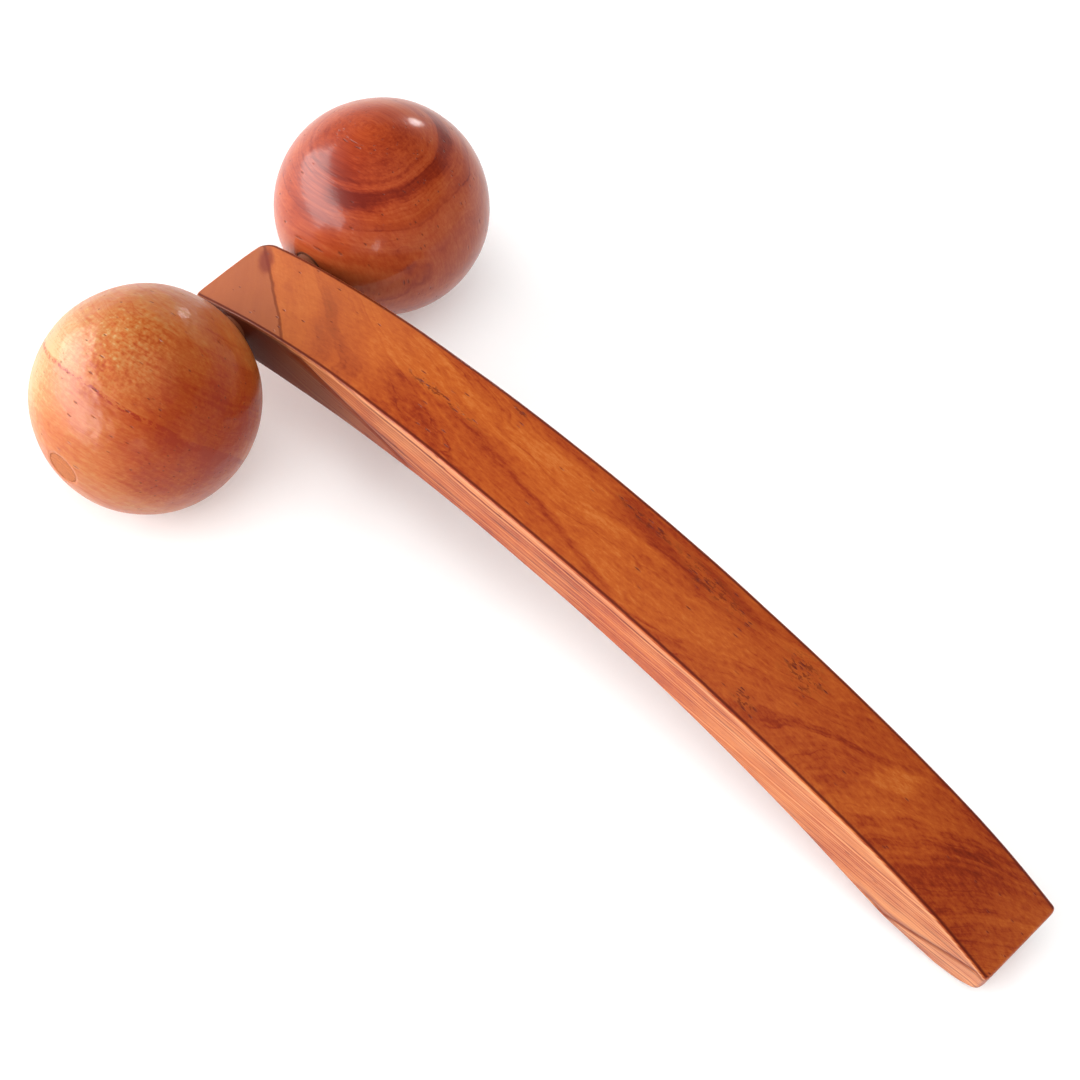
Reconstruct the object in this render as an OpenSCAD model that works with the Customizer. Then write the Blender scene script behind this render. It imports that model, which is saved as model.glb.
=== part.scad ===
// Hand-held massage roller: an arched hardwood handle with two wooden balls
// that spin freely on one steel axle through the handle's head.
//
// Frame: millimetres. +X runs from the head to the tail of the handle, +Y to the
// right ball, +Z up. The origin is on the surface that the roller lies on, below
// the middle of its overall length. It lies on both balls and on the heel of the tail.

/* [Overall] */
// Length from the front of the balls to the end of the tail
overall_l = 217; // [205:1:235]

/* [Balls] */
// Diameter of each ball
ball_d = 45; // [44.5:0.5:48]
// Free space between the two balls, measured along the axle
ball_gap = 23.4; // [23.4:0.1:26]
// Diameter of the small flat turned on the outer end of each ball
end_flat_d = 8.4; // [8:0.1:10]
// Diameter of the straight bore through each ball
bore_d = 7; // [6.6:0.1:7.4]

/* [Handle] */
// Width of the head between the balls
head_w = 20; // [18:0.1:20]
// Widest part of the grip
grip_w = 21.6; // [20.4:0.1:24]
// Distance from the axle to the front face of the head
head_front = 10.5; // [9:0.1:12]
// Distance from the axle to the crown of the arch
crown_x = 67; // [60:1:75]
// Height of the crown above the surface
crown_z = 35.7; // [34.7:0.1:37]
// Thickness of the handle at the crown
crown_t = 12.3; // [11:0.1:13.4]
// Radius of the top over the grip
grip_top_r = 385; // [370:5:400]
// Radius of the top over the head
head_top_r = 155; // [145:5:170]
// Radius of the top over the tail
tail_top_r = 160; // [140:5:180]
// Radius of the hollow underside
under_r = 290; // [280:5:300]
// Slope of the straight heel under the tail, in degrees
heel_a = 17.7; // [16:0.1:18]
// Radius of the lower corner of the tail
tail_corner_r = 6; // [4:0.5:7]
// Radius of the lower corner of the head
head_corner_r = 4; // [2:0.5:5]

/* [Axle and hardware] */
// Diameter of the steel axle
axle_d = 5; // [4.5:0.1:5.2]
// Radial running clearance between the bushes and the axle
run_c = 0.05; // [0.02:0.01:0.1]
// Thread diameter of the end screws
thread_d = 3; // [2.5:0.5:3]
// Outer diameter of the spacer washers beside the head
spacer_d = 6.2; // [5.8:0.1:6.4]
// Depth of the plugs in the ends of the balls
plug_t = 3; // [2:0.1:3]

/* [Hidden] */

$fn = 96;
big_fn = 360;      // the long, shallow arcs of the handle
LEFT = -1;
RIGHT = 1;
OVER = 1;          // how far a cutting tool runs past what it cuts

// Axle and balls
ball_r = ball_d / 2;
axle_x = ball_r - overall_l / 2;
axle_z = ball_r;
ball_y = ball_gap / 2 + ball_r;
end_flat_y = ball_y + sqrt(pow(ball_r, 2) - pow(end_flat_d / 2, 2));

// Bushes and spacers, from the head outwards
bush_l = 9;
bush_sink = 0.05;  // how far each inner bush lies below the rim of its bore
side_float = 0.2;  // how far a ball can slide each way along the axle
inner_bush_y = ball_y - sqrt(pow(ball_r, 2) - pow(bore_d / 2, 2)) + bush_sink;
spacer_end_y = inner_bush_y - side_float;

// End screws and washers
screw_seat_y = 50.1;
outer_bush_y = screw_seat_y - side_float;
end_washer_d = 6.4;
end_washer_t = 0.6;
screw_head_d = 5.6;
screw_head_t = 1.7;
screw_l = 8;
hex_af = 2;
hex_depth = 1;
tap_depth = 9;
plug_chamfer = 0.3;

// Handle outline, measured from the axle along X and from the surface along Z
tail_x = overall_l - ball_r;
grip_top_c = [crown_x, crown_z - grip_top_r];
under_c = [crown_x - 1, crown_z - crown_t - under_r];
head_join_x = 34;  // where the top's head arc meets its grip arc
tail_join_x = 165; // where the top's grip arc meets its tail arc
heel_start = under_c + under_r * [sin(heel_a), cos(heel_a)];
heel_end = [heel_start[0] + heel_start[1] / tan(heel_a), 0];

// Handle plan
head_flat_end = 14;    // the flat cheeks of the head end here
grip_full = 85;        // the grip has its full width from here
tail_narrow = 170;     // the grip starts to narrow again here
tail_w = 21.2;
plan_corner_front = 1.5;
plan_corner_tail = 1.6;

// Lower side facets of the tail
facet_start = [162, 4];    // where each facet's upper edge meets the underside
facet_end_z = 12.4;        // height of that edge at the tail's end
facet_lean = 6;            // degrees that each facet leans in under the handle
facet_cut = [60, 10, 30];  // size of the tool that takes a facet off

// ---------------------------------------------------------------- helpers

// A smooth step from 0 at a to 1 at b
function ease(x, a, b) =
    let (t = min(max((x - a) / (b - a), 0), 1))
    t * t * (3 - 2 * t);

// Half the width of the handle at a distance x from the axle
function half_width(x) =
    (head_w + (grip_w - head_w) * ease(x, head_flat_end, grip_full)
            - (grip_w - tail_w) * ease(x, tail_narrow, tail_x)) / 2;

// Height of an arc with centre c and radius r, at x
function arc_z(c, r, x) = c[1] + sqrt(pow(r, 2) - pow(x - c[0], 2));

// The direction from a centre to the point of its arc at x
function arc_dir(c, r, x) = [(x - c[0]) / r, sqrt(1 - pow((x - c[0]) / r, 2))];

// Points round a corner of radius r, from angle a0 to a1
function corner_points(centre, r, a0, a1, steps = 6) =
    [for (i = [0 : steps])
        let (a = a0 + (a1 - a0) * i / steps)
        centre + r * [cos(a), sin(a)]];

// Parts are drawn about the axle's middle and moved to their place here
module at_axle(height = axle_z) {
    translate([axle_x, 0, height]) children();
}

// Turns a shape that is drawn up along +Z so that it points out along the axle
module outward(side) {
    rotate([-90 * side, 0, 0]) children();
}

// A round disc or sleeve on the axle from y0 to y1, measured outwards from the middle
module sleeve(side, y0, y1, od, id) {
    outward(side)
        translate([0, 0, y0])
            difference() {
                cylinder(h = y1 - y0, d = od);
                translate([0, 0, -OVER])
                    cylinder(h = y1 - y0 + 2 * OVER, d = id);
            }
}

// ---------------------------------------------------------------- handle

// The region below the top line: three arcs that meet in common tangents
module below_top() {
    head_dir = arc_dir(grip_top_c, grip_top_r, head_join_x);
    tail_dir = arc_dir(grip_top_c, grip_top_r, tail_join_x);
    reach = 2 * grip_top_r;
    intersection() {
        translate(grip_top_c)
            circle(r = grip_top_r, $fn = big_fn);
        polygon([grip_top_c,
                 grip_top_c + reach * head_dir,
                 grip_top_c + reach * tail_dir]);
    }
    translate(grip_top_c + (grip_top_r - head_top_r) * head_dir)
        circle(r = head_top_r, $fn = big_fn);
    translate(grip_top_c + (grip_top_r - tail_top_r) * tail_dir)
        circle(r = tail_top_r, $fn = big_fn);
}

// The hollow arc of the underside and the straight rise from the heel to it
module below_underside() {
    translate(under_c)
        circle(r = under_r, $fn = big_fn);
    polygon([heel_start, heel_end, [heel_start[0], 0]]);
}

// What is cut away round the lower corner of the tail
module tail_corner_cut() {
    centre = [tail_x - tail_corner_r, tail_corner_r];
    difference() {
        translate([centre[0], -OVER])
            square([tail_corner_r + OVER, tail_corner_r + OVER]);
        translate(centre)
            circle(r = tail_corner_r);
    }
}

// What is cut away round the lower corner of the head
module head_corner_cut() {
    centre_x = head_corner_r - head_front;
    centre = [centre_x, arc_z(under_c, under_r + head_corner_r, centre_x)];
    touch = centre - head_corner_r * (centre - under_c) / norm(centre - under_c);
    difference() {
        polygon([[-head_front - OVER, centre[1]],
                 centre,
                 touch,
                 [touch[0], 0],
                 [-head_front - OVER, 0]]);
        translate(centre)
            circle(r = head_corner_r);
    }
}

// The handle seen from its side
module side_outline() {
    difference() {
        intersection() {
            below_top();
            translate([-head_front, 0])
                square([tail_x + head_front, crown_z + OVER]);
        }
        below_underside();
        tail_corner_cut();
        head_corner_cut();
    }
}

// The handle seen from above: flat head, slightly swelling grip, round corners
module plan_outline() {
    rf = plan_corner_front;
    rt = plan_corner_tail;
    half = concat(
        corner_points([rf - head_front, head_w / 2 - rf], rf, 180, 90),
        [[head_flat_end, head_w / 2]],
        [for (x = [head_flat_end + 5 : 6 : tail_x - rt - 1]) [x, half_width(x)]],
        corner_points([tail_x - rt, tail_w / 2 - rt], rt, 90, 0));
    other_half = [for (i = [len(half) - 1 : -1 : 0]) [half[i][0], -half[i][1]]];
    polygon(concat(half, other_half));
}

// The facet that takes off the lower side edge of the tail
module tail_facet_cut() {
    rise = atan2(facet_end_z - facet_start[1], tail_x - facet_start[0]);
    translate([facet_start[0], half_width(facet_start[0]), facet_start[1]])
        rotate([0, -rise, 0])
            rotate([-facet_lean, 0, 0])
                translate([-facet_cut[0] / 3, 0, -facet_cut[2]])
                    cube(facet_cut);
}

module handle() {
    color("#b4552b")
        difference() {
            intersection() {
                at_axle(0)
                    translate([0, grip_w, 0])
                        rotate([90, 0, 0])
                            linear_extrude(2 * grip_w)
                                side_outline();
                at_axle(0)
                    linear_extrude(crown_z + OVER)
                        plan_outline();
            }
            at_axle(0)
                for (side = [0, 1])
                    mirror([0, side, 0])
                        tail_facet_cut();
            at_axle()
                rotate([90, 0, 0])
                    cylinder(h = head_w + 2 * OVER, d = axle_d, center = true);
        }
}

// ---------------------------------------------------------------- balls

// A turned ball with a straight through bore and a flat at its outer end
module ball(side) {
    at_axle()
        outward(side)
            difference() {
                translate([0, 0, ball_y])
                    sphere(r = ball_r);
                cylinder(h = end_flat_y + ball_r, d = bore_d);
                translate([0, 0, end_flat_y])
                    cylinder(h = ball_r, r = ball_r);
            }
}

// ---------------------------------------------------------------- axle and hardware

module axle() {
    color("#b9bcc0")
        at_axle()
            difference() {
                rotate([90, 0, 0])
                    cylinder(h = 2 * screw_seat_y, d = axle_d, center = true);
                for (side = [LEFT, RIGHT])
                    outward(side)
                        translate([0, 0, screw_seat_y - tap_depth])
                            cylinder(h = tap_depth + OVER, d = thread_d);
            }
}

// Plain bush, pressed into the bore of a ball and running on the axle
module bush(side, y) {
    color("#7a3d26")
        at_axle()
            sleeve(side, y, y + bush_l, bore_d, axle_d + 2 * run_c);
}

// Keeps the ball clear of the head
module spacer_washer(side) {
    color("#7a3d26")
        at_axle()
            sleeve(side, head_w / 2, spacer_end_y, spacer_d, axle_d);
}

module end_washer(side) {
    color("#c9cbcf")
        at_axle()
            sleeve(side, screw_seat_y, screw_seat_y + end_washer_t, end_washer_d, thread_d);
}

// Button-head screw with a hexagon socket
module end_screw(side) {
    head_y = screw_seat_y + end_washer_t;
    color("#8d9095")
        at_axle()
            outward(side)
                difference() {
                    union() {
                        translate([0, 0, head_y - end_washer_t - screw_l])
                            cylinder(h = screw_l + end_washer_t, d = thread_d);
                        translate([0, 0, head_y])
                            cylinder(h = screw_head_t, d = screw_head_d);
                    }
                    translate([0, 0, head_y + screw_head_t - hex_depth])
                        cylinder(h = hex_depth + OVER, d = hex_af / cos(30), $fn = 6);
                }
}

// Wooden plug that closes the bore at the outer end of the ball
module end_plug(side) {
    r = bore_d / 2;
    color("#a35a2b")
        at_axle()
            outward(side)
                translate([0, 0, end_flat_y - plug_t])
                    rotate_extrude()
                        polygon([[0, 0],
                                 [r, 0],
                                 [r, plug_t - plug_chamfer],
                                 [r - plug_chamfer, plug_t],
                                 [0, plug_t]]);
}

module left_ball() {
    color("#c8763a") ball(LEFT);
}

module right_ball() {
    color("#b84f28") ball(RIGHT);
}

// ---------------------------------------------------------------- nodes

handle();
axle();
left_ball();
right_ball();
bush(LEFT, inner_bush_y);  // left_inner_bush
bush(RIGHT, inner_bush_y);  // right_inner_bush
bush(LEFT, outer_bush_y - bush_l);  // left_outer_bush
bush(RIGHT, outer_bush_y - bush_l);  // right_outer_bush
spacer_washer(LEFT);  // left_spacer_washer
spacer_washer(RIGHT);  // right_spacer_washer
end_washer(LEFT);  // left_end_washer
end_washer(RIGHT);  // right_end_washer
end_screw(LEFT);  // left_end_screw
end_screw(RIGHT);  // right_end_screw
end_plug(LEFT);  // left_end_plug
end_plug(RIGHT);  // right_end_plug
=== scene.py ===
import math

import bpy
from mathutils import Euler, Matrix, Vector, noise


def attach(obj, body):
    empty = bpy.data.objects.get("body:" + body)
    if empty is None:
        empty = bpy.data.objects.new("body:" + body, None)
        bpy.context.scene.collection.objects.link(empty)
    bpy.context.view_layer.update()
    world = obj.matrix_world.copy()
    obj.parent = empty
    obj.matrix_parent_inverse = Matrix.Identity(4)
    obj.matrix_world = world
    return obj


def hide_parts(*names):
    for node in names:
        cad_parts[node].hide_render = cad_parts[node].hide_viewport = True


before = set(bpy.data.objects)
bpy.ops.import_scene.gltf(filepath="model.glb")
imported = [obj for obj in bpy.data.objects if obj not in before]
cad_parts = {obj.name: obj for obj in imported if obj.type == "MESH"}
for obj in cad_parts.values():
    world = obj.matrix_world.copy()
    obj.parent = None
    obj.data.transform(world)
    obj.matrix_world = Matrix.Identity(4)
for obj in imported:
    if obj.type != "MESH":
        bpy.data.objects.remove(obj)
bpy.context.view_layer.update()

# Looks of a hand-held wooden massage roller: an arched, lacquered handle whose head
# carries a turned ball on each side. Lengths are in millimetres, as in the CAD source,
# and become metres only where a mesh is made. The handle's x is measured from the axle.

MM = 0.001
LEFT = -1
RIGHT = 1

# ---------------------------------------------------------------- dimensions

BALL_R = 22.5
BALL_GAP = 23.4
BALL_Y = BALL_GAP / 2 + BALL_R
END_FLAT_R = 4.2
BORE_R = 3.5
PLUG_T = 3.0

OVERALL_L = 217.0
AXLE_X = BALL_R - OVERALL_L / 2
AXLE_Z = BALL_R
AXLE_R = 2.5
TAIL_X = OVERALL_L - BALL_R

HEAD_W = 20.0
GRIP_W = 21.6
TAIL_W = 21.2
HEAD_FRONT = 10.5
HEAD_FLAT_END = 14.0
GRIP_FULL = 85.0
TAIL_NARROW = 170.0

CROWN_X = 67.0
CROWN_Z = 35.7
CROWN_T = 12.3
GRIP_TOP_R = 385.0
HEAD_TOP_R = 155.0
TAIL_TOP_R = 160.0
HEAD_JOIN_X = 34.0
TAIL_JOIN_X = 165.0
UNDER_R = 290.0
UNDER_X = CROWN_X - 1
UNDER_Z = CROWN_Z - CROWN_T - UNDER_R
HEEL_SLOPE = math.radians(17.7)
TAIL_CORNER_R = 6.0
HEAD_CORNER_R = 4.0


# ---------------------------------------------------------------- handle: outlines

def ease(value, low, high):
    """A smooth step from 0 at low to 1 at high; low may be the larger of the two."""
    t = min(max((value - low) / (high - low), 0.0), 1.0)
    return t * t * (3 - 2 * t)


def window(value, start, full, fade, end):
    """1 from full to fade, falling smoothly to 0 at start and at end."""
    return ease(value, start, full) * (1 - ease(value, fade, end))


def arc_height(centre_x, centre_z, radius, x):
    """Height at x of the upper side of a circle."""
    return centre_z + math.sqrt(radius ** 2 - (x - centre_x) ** 2)


def top_height(x):
    """Height of the top line: head arc, grip arc and tail arc, which meet in common tangents."""
    grip_z = CROWN_Z - GRIP_TOP_R
    if HEAD_JOIN_X <= x <= TAIL_JOIN_X:
        return arc_height(CROWN_X, grip_z, GRIP_TOP_R, x)
    join, radius = (HEAD_JOIN_X, HEAD_TOP_R) if x < HEAD_JOIN_X else (TAIL_JOIN_X, TAIL_TOP_R)
    run = (join - CROWN_X) / GRIP_TOP_R
    reach = GRIP_TOP_R - radius
    centre_x = CROWN_X + reach * run
    centre_z = grip_z + reach * math.sqrt(1 - run ** 2)
    return arc_height(centre_x, centre_z, radius, x)


def under_height(x):
    """Height of the underside: hollow arc, straight heel, flat, and a round corner at each end."""
    heel_x = UNDER_X + UNDER_R * math.sin(HEEL_SLOPE)
    heel_z = UNDER_Z + UNDER_R * math.cos(HEEL_SLOPE)
    if x < heel_x:
        z = arc_height(UNDER_X, UNDER_Z, UNDER_R, x)
    else:
        z = max(0.0, heel_z - (x - heel_x) * math.tan(HEEL_SLOPE))
    tail_centre = TAIL_X - TAIL_CORNER_R
    if x > tail_centre:
        z = TAIL_CORNER_R - math.sqrt(max(TAIL_CORNER_R ** 2 - (x - tail_centre) ** 2, 0))
    head_centre = HEAD_CORNER_R - HEAD_FRONT
    if x < head_centre:
        centre_z = arc_height(UNDER_X, UNDER_Z, UNDER_R + HEAD_CORNER_R, head_centre)
        z = centre_z - math.sqrt(max(HEAD_CORNER_R ** 2 - (x - head_centre) ** 2, 0))
    return z


def half_width(x):
    """Half the width of the handle: head, widest grip, and slightly narrower tail."""
    swell = (GRIP_W - HEAD_W) * ease(x, HEAD_FLAT_END, GRIP_FULL)
    narrowing = (GRIP_W - TAIL_W) * ease(x, TAIL_NARROW, TAIL_X)
    return (HEAD_W + swell - narrowing) / 2


# ---------------------------------------------------------------- handle: hand-worked shape

ARRIS_R = 0.6          # radius sanded on the long top edges
UNDER_ARRIS_R = 0.8
EDGE_LINE = 0.45       # how far the painted shade line on those edges reaches onto the top
END_R = 0.5            # radius on the edges of the two end faces
FRONT_CORNER_R = {LEFT: 1.0, RIGHT: 3.2}
TAIL_PLAN_R = 1.0
TOP_CROWN = 0.25       # how much the top falls from its middle to its edges
UNDERCUT = 0.4         # how much narrower the underside is than the top
GROOVE_DEPTH = 0.25    # the creases where two faces of a side meet
GROOVE_HALF = 0.5      # half the width of a crease
CREASE_DARKNESS = 0.6             # how dark the wood beside a crease is, next to 1 in the crease itself
BOTTOM_PAINTED_SHADE = 0.35     # how dark the painted shade along the lowest edge of each side is
LOW_FLANK = 0.6        # how much of the sides' painted light and grain the lower half of each side gets, next to 1 for the upper half
LOW_FLANK_SPAN = (35, 50, 130, 160)
WAVE_ACROSS = 0.10     # how uneven hand sanding left the sides
WAVE_UP = 0.12         # and how uneven it left the top and the underside
TAIL_SKEW = 2.0        # the tail's end is sawn askew by this much
TAIL_SKEW_X = 172      # where the skew starts to show
HEAD_SKEW = 0.3
FACET_SLOPE = 0.035    # the shallow facet planed off the front of the head's top
FACET_DROP = 0.05      # how far below the middle of the top that facet starts
END_SHARES = (0.2, 0.45, 0.7, 0.88, 0.97)  # sizes of the rings that fill an end face
SLICE_GAP = 0.8        # between the slices of the rounded ends and those of the middle
MIDDLE_SLICES = 242

# Each crease is a straight line along a side: x and z of one point of it, and its slope
HEAD_CREASE = (13.5, 31.0, -0.2055)
TAIL_CREASE = (162.0, 3.6, 0.262)
HEAD_CREASE_SPAN = (12, 18, 44, 50)
TAIL_CREASE_SPAN = (160, 168, TAIL_X - 1, TAIL_X)
TAIL_LEAN = math.tan(math.radians(9))  # how steeply the side below the tail's crease leans in
TAIL_LEAN_SPAN = (150, 175)            # it starts to lean at the first x and leans fully at the second

# The head's facet ends at the line between these two (x, y) points
FACET_FRONT = Vector((-10.5, 9.6))
FACET_SIDE = Vector((13.5, -10.2))


def facet_distance(x, y):
    """How far a point of the top lies inside the head's facet, negative outside it."""
    along = (FACET_SIDE - FACET_FRONT).normalized()
    return along.y * (x - FACET_FRONT.x) - along.x * (y - FACET_FRONT.y)


def crease_height(x, low, high):
    """Height of the crease at x, kept between low and high."""
    head = HEAD_CREASE[1] + HEAD_CREASE[2] * (x - HEAD_CREASE[0])
    tail = TAIL_CREASE[1] + TAIL_CREASE[2] * (x - TAIL_CREASE[0])
    return min(max(head, tail, low), high)


def corner_inset(distance, radius):
    """How far a round corner pulls a side in, at a distance from the end face."""
    if distance >= radius:
        return 0.0
    return radius - math.sqrt(radius ** 2 - (radius - max(distance, 0)) ** 2)


def steps(first, last, count):
    """count values evenly from first to last, both included."""
    return [first + (last - first) * i / (count - 1) for i in range(count)]


def half_slice(x, side, inset):
    """One side of a slice across the handle, from the middle of its top to the middle of its
    underside, as (half width, height, crease, arris, flank). The last three mark the point for
    the material: crease is the darkening in and beside a crease and the painted shade along the
    lowest edge of a side; arris is 1 just inside the top's edge, where shade is painted, and -1
    just below it, where a highlight is painted, and it also paints shade on the lower edge; flank
    is 1 on a side and less on its lower half, and sets how much painted light the side gets."""
    pull = corner_inset(x + HEAD_FRONT, FRONT_CORNER_R[side]) + corner_inset(TAIL_X - x, TAIL_PLAN_R)
    top = top_height(x) - inset
    low = under_height(x) + inset
    wide = half_width(x) - pull - inset
    arris = min(ARRIS_R, (top - low) / 4)
    under_arris = min(UNDER_ARRIS_R, (top - low) / 4)
    edge = top - TOP_CROWN
    bottom = low + under_arris
    crease = crease_height(x, bottom + GROOVE_HALF, edge - arris - 2 * GROOVE_HALF)
    crease_wide = max(HEAD_W / 2 - pull - inset, wide - UNDERCUT)
    open_crease = max(window(x, *HEAD_CREASE_SPAN), window(x, *TAIL_CREASE_SPAN))
    lean = TAIL_LEAN * ease(x, *TAIL_LEAN_SPAN)
    low_flank = 1 - (1 - LOW_FLANK) * window(x, *LOW_FLANK_SPAN)
    points = []

    # The top and its rounded edge
    for w in steps(0, wide - arris - EDGE_LINE, 12):
        points.append((w, top - TOP_CROWN * (w / wide) ** 2, 0, 0, 0))
    # The arris mark paints shade on the top's side of this edge and a highlight on its lower side
    for a in steps(90, 0, 7):
        turn = math.radians(a)
        w = wide - arris + arris * math.cos(turn)
        z = edge - arris + arris * math.sin(turn)
        points.append((w, z, 0, ease(a, 45, 75) - ease(a, 40, 15), ease(a, 60, 20)))

    # The side down to the crease, and the crease itself
    for z in steps(edge - arris, crease + GROOVE_HALF, 8)[1:]:
        share = (edge - arris - z) / (edge - arris - crease)
        darkness = open_crease * CREASE_DARKNESS if z < crease + 1.5 * GROOVE_HALF else 0
        flank = 1 - (1 - low_flank) * ease(share, 0.3, 0.7)
        points.append((wide + (crease_wide - wide) * share, z, darkness, 0, flank))
    points.append((crease_wide - GROOVE_DEPTH * open_crease, crease, open_crease, 0, low_flank))

    # The side below the crease
    for i, z in enumerate(steps(crease - GROOVE_HALF, bottom, 8)[:-1]):
        near_crease = open_crease * CREASE_DARKNESS if i == 0 else 0
        # Painted shade along the lowest edge of the side
        painted_low_shade = BOTTOM_PAINTED_SHADE if z < bottom + 2 * GROOVE_HALF else 0
        darkness = max(near_crease, painted_low_shade)
        points.append((crease_wide - lean * (crease - z), z, darkness, 0, low_flank))

    # The rounded lower edge and the underside
    low_wide = crease_wide - lean * (crease - bottom) - under_arris
    for a in steps(0, -90, 6):
        turn = math.radians(a)
        w = low_wide + under_arris * math.cos(turn)
        z = bottom + under_arris * math.sin(turn)
        # The arris mark paints shade on this rounded lower edge
        points.append((w, z, 0, 0.8 * math.sin(-2 * turn), low_flank))
    for w in steps(low_wide, 0, 8)[1:]:
        points.append((w, low, 0, 0, 0))
    return points


def hand_wave(x, y, z):
    """The slight unevenness that hand sanding leaves, as a shift of each point. Each face of the
    handle reads its own part of the noise."""
    side_part = 3.1 if y > 0 else 7.7
    level_part = 11.3 if z > top_height(x) - 6 else 19.1
    across = WAVE_ACROSS * noise.noise(Vector((x / 23, z / 11, side_part)))
    up = WAVE_UP * noise.noise(Vector((x / 19, y / 12, level_part)))
    fade = ease(x, HEAD_FLAT_END - 6, HEAD_FLAT_END + 10)
    return math.copysign(across * fade * min(abs(y) / 8, 1), y), up * (0.4 + 0.6 * fade)


def slice_ring(x, inset=0.0, scale=1.0):
    """A closed slice across the handle at x, shrunk towards its middle by scale. An inset slice
    lies on an end, which has no marks."""
    right = half_slice(x, RIGHT, inset)
    left = half_slice(x, LEFT, inset)
    ring = right + [(-w, z, *marks) for w, z, *marks in reversed(left[1:-1])]
    middle = (top_height(x) + under_height(x)) / 2
    out = []
    for y, z, *marks in ring:
        inside = facet_distance(x, y)
        if inside > 0:
            z = min(z, top_height(x) - FACET_SLOPE * inside - FACET_DROP)
        y_wave, z_wave = hand_wave(x, y, z)
        y = (y + y_wave) * scale
        z = max(middle + (z + z_wave - middle) * scale, 0)
        tail_pull = TAIL_SKEW * (1 - y / half_width(x)) / 2 * ease(x, TAIL_SKEW_X, TAIL_X)
        head_push = HEAD_SKEW * y / (HEAD_W / 2) * (1 - ease(x, -HEAD_FRONT, 0))
        if inset:
            marks = (0, 0, 0)
        out.append((x - tail_pull + head_push, y, z, *marks))
    return out


def end_rings(end, inward):
    """Rings that close one end: a small radius on the edge and then the flat face."""
    rings = [slice_ring(end, END_R, share) for share in END_SHARES]
    for a in steps(90, 15, 5):
        turn = math.radians(a)
        x = end + inward * END_R * (1 - math.sin(turn))
        rings.append(slice_ring(x, END_R * (1 - math.cos(turn))))
    return rings


def handle_rings():
    """All slices of the handle, which lie closest together on the rounded corners of its ends."""
    head_r = HEAD_CORNER_R - END_R
    tail_r = TAIL_CORNER_R - END_R
    head = [-HEAD_FRONT + END_R + head_r * (1 - math.cos(math.radians(a))) for a in steps(12, 90, 9)]
    tail = [TAIL_X - END_R - tail_r * (1 - math.cos(math.radians(a))) for a in steps(90, 8, 12)]
    middle = steps(head[-1] + SLICE_GAP, tail[0] - SLICE_GAP, MIDDLE_SLICES)
    rings = end_rings(-HEAD_FRONT, 1)
    rings += [slice_ring(x) for x in head + middle + tail]
    rings += reversed(end_rings(TAIL_X, -1))
    return rings


def new_object(name, vertices, faces):
    """A mesh object in the scene, from points in metres."""
    mesh = bpy.data.meshes.new(name)
    mesh.from_pydata(vertices, [], faces)
    mesh.validate()
    obj = bpy.data.objects.new(name, mesh)
    bpy.context.scene.collection.objects.link(obj)
    return obj


def bridge(rings, closed_loop=False):
    """Faces between rings of equal length, and over both ends unless the rings close in a loop."""
    count = len(rings[0])
    faces = []
    pairs = list(zip(range(len(rings) - 1), range(1, len(rings))))
    if closed_loop:
        pairs.append((len(rings) - 1, 0))
    for a, b in pairs:
        for i in range(count):
            j = (i + 1) % count
            faces.append((a * count + i, a * count + j, b * count + j, b * count + i))
    if not closed_loop:
        last = (len(rings) - 1) * count
        faces.append(tuple(range(count - 1, -1, -1)))
        faces.append(tuple(range(last, last + count)))
    return faces


def smooth_shading(obj):
    for face in obj.data.polygons:
        face.use_smooth = True


def outward_faces(obj):
    """Turns every face so that its front is outside."""
    bpy.context.view_layer.objects.active = obj
    obj.select_set(True)
    bpy.ops.object.mode_set(mode="EDIT")
    bpy.ops.mesh.select_all(action="SELECT")
    bpy.ops.mesh.normals_make_consistent(inside=False)
    bpy.ops.object.mode_set(mode="OBJECT")
    obj.select_set(False)


def cut_axle_hole(obj):
    """Bores the head through for the axle."""
    turns = [2 * math.pi * i / 48 for i in range(48)]
    rings = [[((AXLE_X + AXLE_R * math.cos(turn)) * MM, y * MM, (AXLE_Z + AXLE_R * math.sin(turn)) * MM)
              for turn in turns] for y in (-HEAD_W, HEAD_W)]
    drill = new_object("drill", [p for ring in rings for p in ring], bridge(rings))
    outward_faces(drill)
    cut = obj.modifiers.new("axle_hole", "BOOLEAN")
    cut.operation = "DIFFERENCE"
    cut.solver = "EXACT"
    cut.object = drill
    depsgraph = bpy.context.evaluated_depsgraph_get()
    bored = bpy.data.meshes.new_from_object(obj.evaluated_get(depsgraph))
    obj.modifiers.clear()
    obj.data = bored
    bpy.data.objects.remove(drill)


def mark(obj, name, values):
    """Stores one number per vertex, which the material reads by name."""
    attribute = obj.data.attributes.new(name, "FLOAT", "POINT")
    attribute.data.foreach_set("value", values)


def build_handle():
    """The handle with its marks for the material and its axle hole."""
    rings = handle_rings()
    points = [point for ring in rings for point in ring]
    vertices = [((AXLE_X + x) * MM, y * MM, z * MM) for x, y, z, *_ in points]
    obj = new_object("handle_grip", vertices, bridge(rings))
    # crease, arris and flank also carry painted shade, painted highlights and painted light
    for place, name in enumerate(("crease", "arris", "flank"), start=3):
        mark(obj, name, [point[place] for point in points])
    outward_faces(obj)
    cut_axle_hole(obj)
    smooth_shading(obj)
    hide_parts("handle")
    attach(obj, "handle_body")
    return obj


# ---------------------------------------------------------------- balls and plugs

RIM_R = 0.08           # softened edges of a ball's bore and end flat
RIM_TURN = 1.5         # degrees left free beside each of those edges
BALL_WOBBLE = 0.22     # how uneven turning by hand left the balls
WOBBLE_SIZE = 13
PLUG_GAP = 0.02        # the hair gap round a plug
PLUG_EDGE_R = 0.12     # the softened edge of its outer face
PLUG_SINK = 0.03       # how far that edge lies below the ball's flat
PLUG_DOME = 0.12       # how far the middle of the face stands above its edge
AXIS_GAP = 0.02        # a plug's outline stops this far from its axis


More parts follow.
